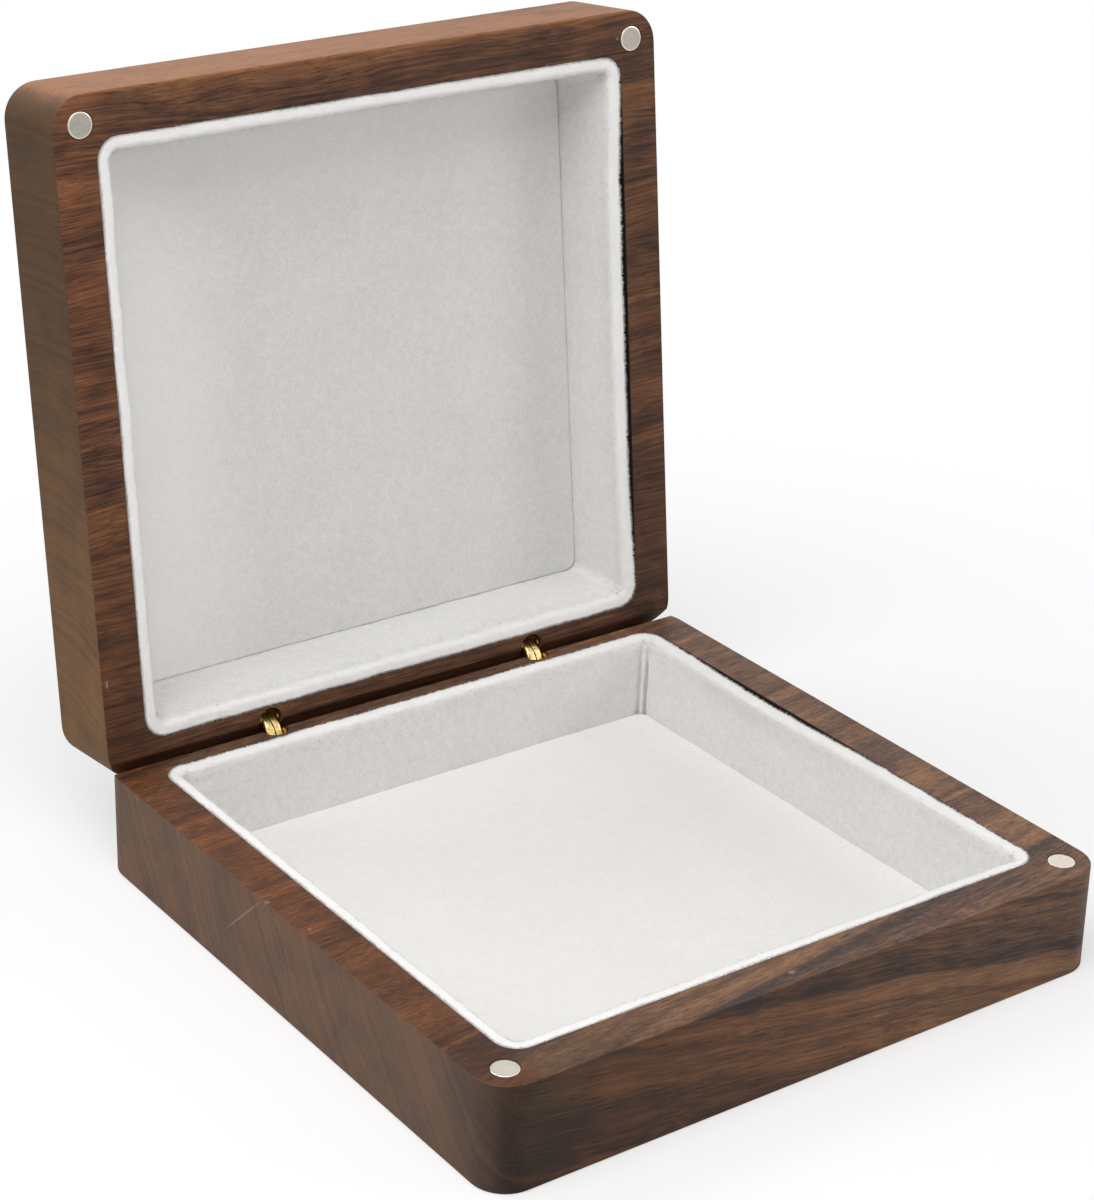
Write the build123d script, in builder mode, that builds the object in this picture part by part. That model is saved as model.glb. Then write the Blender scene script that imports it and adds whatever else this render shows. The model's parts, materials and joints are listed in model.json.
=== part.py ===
from build123d import *
import os
from math import cos, radians, sin

# A square two-part walnut box. The base and the lid are each milled from one block, lined with padded
# velvet, held shut by disc magnets at the front and joined at the rear by two barrel hinges.
# Millimetres. The origin is the centre of the underside, +Z is up and the front faces -Y.
# The box is modelled open, with the lid leaning back on its stop.

# Outside of the box
box_width = 120.0
box_depth = 118.0
base_height = 18.5
lid_height = 17.5
corner_radius = 6.0
edge_round = 0.4
rim_round = 0.2
overrun = 10.0

# How far the lid opens, and the gaps that are left when it is shut and when it is open
open_angle = 96.0
closing_gap = 0.2
stop_clearance = 0.15

# Barrel hinges: a barrel in each half, two leaves between them and a pin through the leaves in each barrel
hinge_spacing = 56.0
barrel_radius = 2.0
barrel_length = 8.0
barrel_back_land = 1.8
barrel_front_land = 0.35
barrel_bevel = 0.15
barrel_fit = 0.05
base_barrel_recess = 0.1
lid_barrel_recess = 0.6
mouth_margin = 0.45
mouth_depth = 2.0
pin_radius = 0.45
pin_depth = 2.0
pin_fit = 0.01
pin_end_inset = 0.15
pin_running_clearance = 0.05
leaf_thickness = 1.45
leaf_gap = 0.2
leaf_side_clearance = 0.05
leaf_side_round = 0.6
leaf_slit_round = 0.1
leaf_end_radius = 1.0
leaf_belly = 0.5
leaf_end_clearance = 0.4
rear_bevel_lead = 0.1

# The pocket milled in each half
wall = 7.6
floor_thickness = 3.1
pocket_corner_radius = 4.0

# Disc magnets in the front corners of both rims
magnet_radius = 2.3
magnet_thickness = 3.0
magnet_round = 0.25
magnet_land = 2.8
magnet_recess = 0.05
magnet_fit = 0.05

# Strip of card and velvet round the walls of each pocket
strip_fit = 0.25
strip_drop = 0.1
strip_top_thickness = 3.0
strip_foot_thickness = 4.5
strip_top_radius = 3.0
strip_foot_radius = 1.8
strip_front_round = 1.4
strip_back_round = 0.8
card_thickness = 1.0
card_cover = 1.4
seam_gap = 0.2

# Velvet pad on a board at the bottom of each pocket
board_thickness = 0.8
board_inset = 0.8
board_corner_radius = 1.2
pad_cover = 0.55
pad_crown = 0.3
pad_shoulder = 9.0
pad_fit = 0.3
pad_side_draw = 0.35
pad_corner_radius = 2.2
pad_edge_round = 0.7

# Places worked out from the sizes above
half_angle = radians(open_angle) / 2
barrel_setback = barrel_back_land + barrel_radius
mouth_radius = barrel_radius + mouth_margin
rear_wall = barrel_setback + mouth_radius + barrel_front_land
leaf_pitch = 2 * pin_depth + closing_gap
slot_width = 2 * leaf_thickness + leaf_gap + 2 * leaf_side_clearance
slot_depth = pin_depth + leaf_end_radius + leaf_end_clearance
magnet_inset = magnet_land + magnet_radius
pocket_width = box_width - 2 * wall
pocket_length = box_depth - wall - rear_wall
strip_width = pocket_width - 2 * strip_fit
strip_length = pocket_length - 2 * strip_fit
pad_width = strip_width - 2 * strip_foot_thickness - 2 * pad_fit
pad_length = strip_length - 2 * strip_foot_thickness - 2 * pad_fit
pad_height = board_thickness + pad_cover

# The lid and the base are mirror images in the plane that halves the opening. This is how far a square
# rear corner would reach past that plane, and how far it is bevelled back to clear it.
corner_reach = barrel_setback * sin(half_angle) + pin_depth * cos(half_angle) - leaf_pitch / 2
bevel_forward = barrel_setback + rear_bevel_lead
bevel_down = (corner_reach + stop_clearance / 2) / cos(half_angle)

# Directions in the open lid, from its hinge to its front and out through its top, and along the leaves
lid_forward = Vector(0, -cos(2 * half_angle), sin(2 * half_angle))
lid_outward = Vector(0, sin(2 * half_angle), cos(2 * half_angle))
leaf_along = Vector(0, sin(half_angle), cos(half_angle))
leaf_front = Vector(0, -cos(half_angle), sin(half_angle))

base_pin_place = Vector(0, box_depth / 2 - barrel_setback, base_height - pin_depth)
lid_pin_place = base_pin_place + leaf_along * leaf_pitch
lid_rim_centre = lid_pin_place - lid_outward * pin_depth + lid_forward * (box_depth / 2 - barrel_setback)

# Each half is drawn from the middle of its rim, with local Y to the front and local Z into the wood
base_rim = Plane(origin=(0, 0, base_height), x_dir=(1, 0, 0), z_dir=(0, 0, -1))
lid_rim = Plane(origin=lid_rim_centre, x_dir=(-1, 0, 0), z_dir=lid_outward)

barrel_forward = barrel_setback - box_depth / 2
magnet_forward = box_depth / 2 - magnet_inset
hinge_places = {"left": -hinge_spacing / 2, "right": hinge_spacing / 2}
magnet_places = {"left": magnet_inset - box_width / 2, "right": box_width / 2 - magnet_inset}
leaf_places = {"outer": (leaf_thickness + leaf_gap) / 2, "inner": -(leaf_thickness + leaf_gap) / 2}


def across(rim, place):
    """Local X in a half of the box for a place given along the box's own X."""
    return place * rim.x_dir.X


def side_view(rim, place):
    """Plane square to the hinge line, with local X to the front and local Y into the wood."""
    return Plane(origin=rim.origin + rim.x_dir * across(rim, place), x_dir=rim.y_dir, z_dir=rim.x_dir)


def pocket_level(rim, depth):
    """Plane at a depth below the rim, centred on the pocket."""
    centre = rim.origin + rim.y_dir * (rear_wall - wall) / 2 + rim.z_dir * depth
    return Plane(origin=centre, x_dir=rim.x_dir, z_dir=rim.z_dir)


def inward(rim):
    """Axis from the rim into the wood."""
    return Axis(rim.origin, rim.z_dir)


def cut_rear_bevel(rim, sink):
    """Slope the rear edge back so that it clears the other half when the box is open."""
    rear = -box_depth / 2
    slope = bevel_down / bevel_forward
    low = (rear - overrun, bevel_down + sink + overrun * slope)
    high = (rear + bevel_forward + overrun, sink - overrun * slope)
    with BuildSketch(side_view(rim, 0)) as wedge:
        with BuildLine():
            Polyline(low, high, (low[0], high[1]), close=True)
        make_face()
    extrude(wedge.sketch, amount=box_width, both=True, mode=Mode.SUBTRACT)


def cut_seam(rim, depth):
    """Part the strip in one rear corner, where its two ends meet."""
    corner = Vector(strip_width / 2, -strip_length / 2)
    reach = Vector(overrun, -overrun)
    with BuildSketch(pocket_level(rim, 0)) as seam:
        with BuildLine():
            Line(corner - reach, corner + reach)
        trace(line_width=seam_gap)
    extrude(seam.sketch, amount=depth, mode=Mode.SUBTRACT)


def pad_outline(rim, depth, inset):
    """Outline of a pad whose sides draw in a little between its rounded corners."""
    half_width = pad_width / 2 - inset
    half_length = pad_length / 2 - inset
    corners = [
        (-half_width, -half_length),
        (half_width, -half_length),
        (half_width, half_length),
        (-half_width, half_length),
    ]
    middles = [
        (0, pad_side_draw - half_length),
        (half_width - pad_side_draw, 0),
        (0, half_length - pad_side_draw),
        (pad_side_draw - half_width, 0),
    ]
    with BuildSketch(pocket_level(rim, depth)) as outline:
        with BuildLine():
            for start, middle, end in zip(corners, middles, corners[1:] + corners[:1]):
                ThreePointArc(start, middle, end)
        make_face()
        fillet(outline.vertices(), radius=pad_corner_radius)
    return outline.sketch


def make_shell(rim, height, barrel_recess):
    """One half of the box: a block with a pocket, a bevelled rear edge and holes for what is let in."""
    with BuildPart() as shell:
        with BuildSketch(rim):
            RectangleRounded(box_width, box_depth, corner_radius)
        extrude(amount=height)
        fillet(shell.faces().sort_by(inward(rim))[-1].edges(), radius=edge_round)
        with BuildSketch(pocket_level(rim, 0)):
            RectangleRounded(pocket_width, pocket_length, pocket_corner_radius)
        extrude(amount=height - floor_thickness, mode=Mode.SUBTRACT)
        fillet(shell.faces().sort_by(inward(rim))[0].edges(), radius=rim_round)
        cut_rear_bevel(rim, 0)
        barrels = [(across(rim, place), barrel_forward) for place in hinge_places.values()]
        with BuildSketch(rim):
            with Locations(barrels):
                Circle(barrel_radius + barrel_fit)
        extrude(amount=barrel_recess + barrel_length, mode=Mode.SUBTRACT)
        with BuildSketch(rim):
            with Locations(barrels):
                Circle(mouth_radius)
        extrude(amount=mouth_depth, mode=Mode.SUBTRACT)
        with BuildSketch(rim):
            with Locations([(across(rim, place), magnet_forward) for place in magnet_places.values()]):
                Circle(magnet_radius + magnet_fit)
        extrude(amount=magnet_recess + magnet_thickness, mode=Mode.SUBTRACT)
    return shell


def make_wall_card(rim, height):
    """The stiff card strip that stands round the pocket's walls, behind the velvet."""
    depth = height - floor_thickness
    with BuildPart() as card:
        with BuildSketch(pocket_level(rim, strip_drop + card_cover)):
            RectangleRounded(strip_width, strip_length, pocket_corner_radius - strip_fit)
            offset(amount=-card_thickness, mode=Mode.SUBTRACT)
        extrude(amount=depth - strip_drop - card_cover)
        cut_seam(rim, depth)
    return card


def make_wall_velvet(rim, height):
    """The padded velvet over the card: thicker at its foot, and rolled over the top of the card."""
    depth = height - floor_thickness
    with BuildPart() as velvet:
        with BuildSketch(pocket_level(rim, strip_drop)):
            RectangleRounded(strip_width, strip_length, pocket_corner_radius - strip_fit)
        extrude(amount=depth - strip_drop)
        for level, thickness, radius in (
            (strip_drop, strip_top_thickness, strip_top_radius),
            (depth, strip_foot_thickness, strip_foot_radius),
        ):
            with BuildSketch(pocket_level(rim, level)):
                RectangleRounded(strip_width - 2 * thickness, strip_length - 2 * thickness, radius)
        loft(ruled=True, mode=Mode.SUBTRACT)
        lip = velvet.faces().sort_by(inward(rim))[0]
        fillet(lip.inner_wires().edges(), radius=strip_front_round)
        lip = velvet.faces().sort_by(inward(rim))[0]
        fillet(lip.outer_wire().edges(), radius=strip_back_round)
        with BuildSketch(pocket_level(rim, strip_drop + card_cover)):
            RectangleRounded(strip_width, strip_length, pocket_corner_radius - strip_fit)
            offset(amount=-card_thickness, mode=Mode.SUBTRACT)
        extrude(amount=depth, mode=Mode.SUBTRACT)
        cut_seam(rim, depth)
    return velvet


def make_board(rim, height):
    """The stiff board that a pad is made on."""
    with BuildPart() as board:
        with BuildSketch(pocket_level(rim, height - floor_thickness - board_thickness)):
            RectangleRounded(pad_width - 2 * board_inset, pad_length - 2 * board_inset, board_corner_radius)
        extrude(amount=board_thickness)
    return board


def make_pad(rim, height):
    """The velvet pad, wrapped round its board, with a soft edge and a low crown."""
    depth = height - floor_thickness
    sections = [
        pad_outline(rim, depth, 0),
        pad_outline(rim, depth - pad_height, 0),
        pad_outline(rim, depth - pad_height - pad_crown, pad_shoulder),
    ]
    with BuildPart() as pad:
        loft(sections, ruled=True)
        shoulder = pad.edges().group_by(inward(rim))[2]
        fillet(shoulder, radius=pad_edge_round)
        with BuildSketch(pocket_level(rim, depth - board_thickness)):
            RectangleRounded(pad_width - 2 * board_inset, pad_length - 2 * board_inset, board_corner_radius)
        extrude(amount=board_thickness, mode=Mode.SUBTRACT)
    return pad


def make_magnet(rim, place):
    """A disc magnet, its face just below the rim."""
    with BuildPart() as magnet:
        with BuildSketch(rim.offset(magnet_recess)):
            with Locations((across(rim, place), magnet_forward)):
                Circle(magnet_radius)
        extrude(amount=magnet_thickness)
        fillet(magnet.edges().filter_by(GeomType.CIRCLE), radius=magnet_round)
    return magnet


def make_barrel(rim, recess, place):
    """A hinge barrel, slotted for the leaves and cut back like the wood behind it."""
    with BuildPart() as barrel:
        with BuildSketch(rim.offset(recess)):
            with Locations((across(rim, place), barrel_forward)):
                Circle(barrel_radius)
        extrude(amount=barrel_length)
        chamfer(barrel.edges().filter_by(GeomType.CIRCLE), length=barrel_bevel)
        cut_rear_bevel(rim, recess)
        with BuildSketch(rim):
            with Locations((across(rim, place), barrel_forward)):
                Rectangle(slot_width, 2 * barrel_radius + overrun)
        extrude(amount=slot_depth, mode=Mode.SUBTRACT)
        with BuildSketch(side_view(rim, place)):
            with Locations((barrel_forward, pin_depth)):
                Circle(pin_radius + pin_fit)
        extrude(amount=barrel_radius, both=True, mode=Mode.SUBTRACT)
    return barrel


def make_pin(rim, place):
    """A steel pin across the slot of a barrel."""
    with BuildPart() as pin:
        with BuildSketch(side_view(rim, place)):
            with Locations((barrel_forward, pin_depth)):
                Circle(pin_radius)
        extrude(amount=barrel_radius - pin_end_inset, both=True)
    return pin


def make_leaf(place, side):
    """A leaf that turns on both pins, fuller where it shows in the open box and rounded on its outer side."""
    pins = [(pin.Y, pin.Z) for pin in (base_pin_place, lid_pin_place)]
    belly = (base_pin_place + lid_pin_place) / 2 + leaf_front * leaf_belly
    with BuildPart() as leaf:
        with BuildSketch(Plane(origin=(place, 0, 0), x_dir=(0, 1, 0), z_dir=(1, 0, 0))):
            with Locations(pins + [(belly.Y, belly.Z)]):
                Circle(leaf_end_radius)
            make_hull()
            with Locations(pins):
                Circle(pin_radius + pin_running_clearance, mode=Mode.SUBTRACT)
        extrude(amount=leaf_thickness / 2, both=True)
        low, high = leaf.faces().sort_by(Axis.X)[0], leaf.faces().sort_by(Axis.X)[-1]
        outer, inner = (high, low) if side > 0 else (low, high)
        fillet(outer.outer_wire().edges(), radius=leaf_side_round)
        fillet(inner.outer_wire().edges(), radius=leaf_slit_round)
    return leaf


def keep(piece, name):
    """Label a finished piece and write it out."""
    piece.part.label = name
    export_step(piece.part, f"parts/{name}.step")


os.makedirs("parts", exist_ok=True)

halves = {
    "base": (base_rim, base_height, base_barrel_recess),
    "lid": (lid_rim, lid_height, lid_barrel_recess),
}
for half, (rim, height, recess) in halves.items():
    keep(make_shell(rim, height, recess), f"{half}_shell")
    keep(make_wall_card(rim, height), f"{half}_wall_card")
    keep(make_wall_velvet(rim, height), f"{half}_wall_velvet")
    keep(make_board(rim, height), f"{half}_pad_board")
    keep(make_pad(rim, height), f"{half}_pad_velvet")
    for side, place in magnet_places.items():
        keep(make_magnet(rim, place), f"{half}_magnet_{side}")
    for side, place in hinge_places.items():
        keep(make_barrel(rim, recess, place), f"{half}_barrel_{side}")
        keep(make_pin(rim, place), f"{half}_pin_{side}")

for side, place in hinge_places.items():
    outward = 1 if place > 0 else -1
    for layer, step in leaf_places.items():
        keep(make_leaf(place + outward * step, outward * step), f"hinge_leaf_{side}_{layer}")
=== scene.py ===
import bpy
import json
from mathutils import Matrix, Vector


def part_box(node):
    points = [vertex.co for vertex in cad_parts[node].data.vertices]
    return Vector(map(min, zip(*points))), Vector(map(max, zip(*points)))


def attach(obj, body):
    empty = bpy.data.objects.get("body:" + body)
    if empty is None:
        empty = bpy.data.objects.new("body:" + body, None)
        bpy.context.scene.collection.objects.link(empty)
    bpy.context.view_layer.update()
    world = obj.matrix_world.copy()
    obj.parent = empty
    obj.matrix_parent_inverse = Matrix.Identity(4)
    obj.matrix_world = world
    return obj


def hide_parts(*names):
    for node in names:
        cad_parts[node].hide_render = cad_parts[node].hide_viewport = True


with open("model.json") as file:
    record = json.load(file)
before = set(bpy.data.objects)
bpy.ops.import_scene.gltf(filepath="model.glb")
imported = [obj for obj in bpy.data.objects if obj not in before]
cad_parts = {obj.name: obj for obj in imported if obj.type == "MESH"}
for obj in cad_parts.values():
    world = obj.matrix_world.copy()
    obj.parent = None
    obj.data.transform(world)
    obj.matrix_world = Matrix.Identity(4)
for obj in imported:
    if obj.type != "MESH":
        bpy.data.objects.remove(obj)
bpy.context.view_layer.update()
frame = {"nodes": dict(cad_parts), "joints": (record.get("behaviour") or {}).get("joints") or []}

import json
import math
import random

import bpy
from bpy.props import FloatProperty, FloatVectorProperty, IntProperty, PointerProperty
from mathutils import Matrix, Vector, noise

bl_info = {
    "name": "Walnut Jewelry Box",
    "version": (1, 0, 0),
    "blender": (4, 5, 0),
    "location": "3D View > Sidebar > Jewelry Box",
    "description": "Dresses a square walnut jewelry box in oiled wood, velvet, brass and nickel",
    "category": "Add Mesh",
}

MM = 0.001

# The two halves of the box, each with its own directions

LID_JOINT = next(joint for joint in frame["joints"] if joint["child"] == "lid")
LEAF_JOINT = next(joint for joint in frame["joints"] if joint["child"] == "hinge_links")
OPEN_ANGLE = math.radians(LID_JOINT["range_deg"][1] + LEAF_JOINT["range_deg"][1])
BASE_LOW, BASE_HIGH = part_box("base_shell")
BOX_DEPTH = BASE_HIGH.y - BASE_LOW.y
PIN_SETBACK = BASE_HIGH.y - LEAF_JOINT["pos_m"][1]
PIN_DEPTH = BASE_HIGH.z - LEAF_JOINT["pos_m"][2]


def rim_frame(origin, right, inward):
    """Matrix of a half of the box: X to its side, Y to its front and Z from the rim into the wood."""
    right = Vector(right)
    inward = Vector(inward)
    forward = inward.cross(right)
    turned = Matrix((right, forward, inward)).transposed().to_4x4()
    return Matrix.Translation(origin) @ turned


def lid_rim_frame():
    """The open lid's own directions, found from its hinge pin."""
    outward = Vector((0, math.sin(OPEN_ANGLE), math.cos(OPEN_ANGLE)))
    forward = Vector((0, -math.cos(OPEN_ANGLE), math.sin(OPEN_ANGLE)))
    pin = Vector(LID_JOINT["pos_m"])
    centre = pin - outward * PIN_DEPTH + forward * (BOX_DEPTH / 2 - PIN_SETBACK)
    return rim_frame(centre, (-1, 0, 0), outward)


RIMS = {
    "base": rim_frame((0, 0, BASE_HIGH.z), (1, 0, 0), (0, 0, -1)),
    "lid": lid_rim_frame(),
}


def local_box(node, half):
    """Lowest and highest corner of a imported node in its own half's directions."""
    back = RIMS[half].inverted()
    points = [back @ vertex.co for vertex in frame["nodes"][node].data.vertices]
    low = Vector([min(p[axis] for p in points) for axis in range(3)])
    high = Vector([max(p[axis] for p in points) for axis in range(3)])
    return low, high


# What a user may change

class WalnutFinish(bpy.types.PropertyGroup):
    """Colours and grain of the oiled walnut."""

    light: FloatVectorProperty(
        name="Light wood", description="Colour of the pale streaks", subtype="COLOR",
        default=(0.262, 0.114, 0.049), min=0, max=1)
    warm: FloatVectorProperty(
        name="Warm wood", description="Colour of the orange-brown patches", subtype="COLOR",
        default=(0.158, 0.066, 0.029), min=0, max=1)
    middle: FloatVectorProperty(
        name="Brown wood", description="Colour of most of the wood", subtype="COLOR",
        default=(0.088, 0.038, 0.020), min=0, max=1)
    dark: FloatVectorProperty(
        name="Dark streaks", description="Colour of the dark streaks and pores", subtype="COLOR",
        default=(0.026, 0.013, 0.009), min=0, max=1)
    base_end: FloatVectorProperty(
        name="End grain of the base", description="Colour of the base's end faces", subtype="COLOR",
        default=(0.135, 0.075, 0.046), min=0, max=1)
    lid_end: FloatVectorProperty(
        name="End grain of the lid", description="Colour of the lid's end faces", subtype="COLOR",
        default=(0.166, 0.084, 0.034), min=0, max=1)
    # Near-black painted shade on the pocket walls, for the shadowed gap where the lining stands off
    pocket: FloatVectorProperty(
        name="Pocket walls", description="Colour of the wood behind the lining", subtype="COLOR",
        default=(0.016, 0.011, 0.009), min=0, max=1)
    scratch: FloatVectorProperty(
        name="Scratches", description="Colour of scratches and small chips", subtype="COLOR",
        default=(0.36, 0.25, 0.19), min=0, max=1)
    line_gap: FloatProperty(
        name="Line gap", description="Mean distance between dark lines", subtype="DISTANCE",
        default=2.4 * MM)
    band_width: FloatProperty(
        name="Band width", description="Mean width of light and dark bands", subtype="DISTANCE",
        default=9 * MM)
    roughness: FloatProperty(
        name="Roughness", description="Roughness of the oiled surface", default=0.5, min=0, max=1)


class VelvetFinish(bpy.types.PropertyGroup):
    """Colour, thickness and pile of the velvet lining."""

    color: FloatVectorProperty(
        name="Velvet", description="Colour of the pile", subtype="COLOR",
        default=(0.81, 0.80, 0.78), min=0, max=1)
    shade: FloatVectorProperty(
        name="Velvet shade", description="Colour deep in the pile", subtype="COLOR",
        default=(0.67, 0.66, 0.635), min=0, max=1)
    # Painted highlight: the near-white that the velvet takes over the lip, in place of the light its pile
    # catches
    lip: FloatVectorProperty(
        name="Velvet lip", description="Colour of the open pile along the lip", subtype="COLOR",
        default=(0.99, 0.975, 0.955), min=0, max=1)
    top_thickness: FloatProperty(
        name="Strip at the rim", description="Thickness of the padded strip at the rim",
        subtype="DISTANCE", default=2.35 * MM)
    foot_thickness: FloatProperty(
        name="Strip at its foot", description="Thickness of the padded strip at its foot",
        subtype="DISTANCE", default=4.5 * MM)
    pile_length: FloatProperty(
        name="Pile length", description="Length of the fibres at the lip", subtype="DISTANCE",
        default=0.80 * MM)
    pile_density: IntProperty(
        name="Pile density", description="Fibres along each millimetre of lip", default=42, min=0)


class MetalFinish(bpy.types.PropertyGroup):
    """Colours of the hinges, pins and magnets, and of the card behind the velvet."""

    brass: FloatVectorProperty(
        name="Brass", description="Colour of the hinges", subtype="COLOR",
        default=(0.80, 0.60, 0.25), min=0, max=1)
    nickel: FloatVectorProperty(
        name="Nickel", description="Colour of the magnets' plating", subtype="COLOR",
        default=(0.85, 0.78, 0.70), min=0, max=1)
    steel: FloatVectorProperty(
        name="Steel", description="Colour of the hinge pins", subtype="COLOR",
        default=(0.52, 0.51, 0.50), min=0, max=1)
    # Near black: painted shade on the card, which shows only in the shadowed gap behind the lining
    board: FloatVectorProperty(
        name="Card", description="Colour of the card behind the velvet", subtype="COLOR",
        default=(0.022, 0.019, 0.017), min=0, max=1)


class StudioLight(bpy.types.PropertyGroup):
    """Camera, floor and lamps."""

    floor: FloatVectorProperty(
        name="Floor", description="Colour of the floor", subtype="COLOR",
        default=(0.80, 0.80, 0.80), min=0, max=1)
    sky: FloatProperty(
        name="Sky", description="Strength of the soft light all round", default=0.31)
    top_lamp: FloatProperty(
        name="Top lamp", description="Power of the lamp overhead", subtype="POWER", default=2.75)
    side_lamp: FloatProperty(
        name="Side lamp", description="Power of the lamp at the left", subtype="POWER", default=1.4)
    back_lamp: FloatProperty(
        name="Back lamp", description="Power of the lamp behind the lid", subtype="POWER", default=2.0)
    front_lamp: FloatProperty(
        name="Front lamp", description="Power of the low lamp at the right", subtype="POWER",
        default=1.9)
    lens: FloatProperty(
        name="Lens", description="Focal length on a 36 mm wide sensor", default=98.5)
    azimuth: FloatProperty(
        name="Azimuth", description="Camera's turn round the box", subtype="ANGLE",
        default=math.radians(-34.60))
    elevation: FloatProperty(
        name="Elevation", description="Camera's height angle", subtype="ANGLE",
        default=math.radians(23.16))
    roll: FloatProperty(
        name="Roll", description="Camera's roll", subtype="ANGLE", default=math.radians(0.84))
    distance: FloatProperty(
        name="Distance", description="From the camera to the box", subtype="DISTANCE",
        default=488.1 * MM)


SETTINGS = {
    "box_walnut": WalnutFinish,
    "box_velvet": VelvetFinish,
    "box_metal": MetalFinish,
    "box_studio": StudioLight,
}


# Shader graphs

WHITE = (1.0, 1.0, 1.0)


class Wire:
    """A socket of a shader graph, so that shader maths reads as an expression."""

    def __init__(self, graph, socket):
        self.graph = graph
        self.socket = socket

    def _maths(self, operation, *values):
        return self.graph.node("ShaderNodeMath", {"operation": operation}, values)

    def __add__(self, other):
        return self._maths("ADD", self, other)

    def __sub__(self, other):
        return self._maths("SUBTRACT", self, other)

    def __mul__(self, other):
        return self._maths("MULTIPLY", self, other)

    def __rsub__(self, other):
        return self._maths("SUBTRACT", other, self)

    def __neg__(self):
        return self._maths("MULTIPLY", self, -1.0)

    def __abs__(self):
        return self._maths("ABSOLUTE", self)

    __radd__ = __add__
    __rmul__ = __mul__

    def at_least(self, other):
        """The larger of two numbers."""
        return self._maths("MAXIMUM", self, other)


class Graph:
    """The shader graph of one material or of the sky, empty at first."""

    def __init__(self, owner):
        owner.use_nodes = True
        self.owner = owner
        self.tree = owner.node_tree
        self.tree.nodes.clear()

    def node(self, kind, settings=None, inputs=(), output=0):
        """Add a node, set it, feed its sockets by place or name, and return one output or each."""
        made = self.tree.nodes.new(kind)
        for key, value in (settings or {}).items():
            if key == "stops":
                self._set_stops(made.color_ramp.elements, value)
            else:
                setattr(made, key, value)
        named = inputs.items() if isinstance(inputs, dict) else enumerate(inputs)
        for key, value in named:
            if isinstance(value, Wire):
                self.tree.links.new(value.socket, made.inputs[key])
            else:
                made.inputs[key].default_value = value
        if output == "each":
            return [Wire(self, socket) for socket in made.outputs]
        return Wire(self, made.outputs[output]) if made.outputs else made

    def _set_stops(self, elements, stops):
        """Give a ramp its (place, colour) stops."""
        while len(elements) < len(stops):
            elements.new(0.5)
        for element, (position, color) in zip(elements, stops):
            element.position = position
            element.color = (*color, 1.0)

    def place(self):
        """A point's place in metres, the same at every pose."""
        return self.node("ShaderNodeTexCoord", output="Object")

    def place_in_mm(self):
        """A point's place in millimetres."""
        return self.multiply(self.place(), (1 / MM,) * 3)

    def mapping(self, vector, centre, turn, size):
        """A vector as seen from a centre, turned and measured by a size."""
        values = {"Vector": vector, "Location": centre, "Rotation": turn, "Scale": size}
        return self.node("ShaderNodeMapping", {"vector_type": "TEXTURE"}, values)

    def noise(self, vector, scale=1.0, detail=1.0, roughness=0.5, output="Fac"):
        """Fractal noise, from 0 to 1."""
        values = {"Vector": vector, "Scale": scale, "Detail": detail, "Roughness": roughness}
        return self.node("ShaderNodeTexNoise", {"noise_dimensions": "3D"}, values, output)

    def streak(self, value, scale, detail=2.0, roughness=0.5):
        """Noise that changes along one value only, from 0 to 1."""
        values = {"W": value, "Scale": scale, "Detail": detail, "Roughness": roughness}
        return self.node("ShaderNodeTexNoise", {"noise_dimensions": "1D"}, values, "Fac")

    def step(self, value, start, end):
        """A soft step from 0 to 1 between two values."""
        values = {"Value": value, "From Min": start, "From Max": end}
        return self.node("ShaderNodeMapRange", {"interpolation_type": "SMOOTHSTEP"}, values)

    def faces(self, amount):
        """1 on the faces turned one way, from the share of the normal that points that way."""
        return self.step(amount, 0.5, 0.9)

    def blend(self, factor, first, second):
        """Mix of two colours."""
        first = first if isinstance(first, Wire) else (*first, 1.0)
        second = second if isinstance(second, Wire) else (*second, 1.0)
        values = {0: factor, 6: first, 7: second}
        return self.node("ShaderNodeMix", {"data_type": "RGBA"}, values, 2)

    def split(self, vector):
        """The three numbers of a vector."""
        return self.node("ShaderNodeSeparateXYZ", {}, (vector,), "each")

    def combine(self, x, y, z):
        """A vector made of three numbers."""
        return self.node("ShaderNodeCombineXYZ", {}, (x, y, z))

    def vectors(self, operation, *values, output=0):
        """Vector maths; an operation that gives a number has it at the output Value."""
        return self.node("ShaderNodeVectorMath", {"operation": operation}, values, output)

    def length(self, vector):
        """How long a vector is."""
        return self.vectors("LENGTH", vector, output="Value")

    def multiply(self, first, second):
        """Two vectors or colours, multiplied axis by axis."""
        return self.vectors("MULTIPLY", first, second)

    def tint(self, color, amount):
        """A colour made lighter or darker by a number."""
        color = color if isinstance(color, Wire) else tuple(color)
        return self.multiply(color, self.combine(amount, amount, amount))

    def bump(self, height, distance, strength):
        """A normal roughened by a height."""
        values = {"Strength": strength, "Distance": distance, "Height": height}
        return self.node("ShaderNodeBump", {}, values)

    def finish(self, **sockets):
        """The Principled shader and the output; underscores in a name stand for spaces."""
        values = {key.replace("_", " "): value for key, value in sockets.items()}
        shader = self.node("ShaderNodeBsdfPrincipled", {}, values)
        self.node("ShaderNodeOutputMaterial", {}, {"Surface": shader})
        return self.owner


def new_material(name):
    """A material's empty graph."""
    return Graph(bpy.data.materials.new(name))


def swing(*parts):
    """Noises added together, each swung to both sides of nought by its own amount."""
    total = 0.0
    for wire, amount in parts:
        total = (wire - 0.5) * amount + total
    return total


# Walnut. Places are in millimetres in a half's own directions. Noise scales are per millimetre, along the
# grain and then twice across it.

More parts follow.
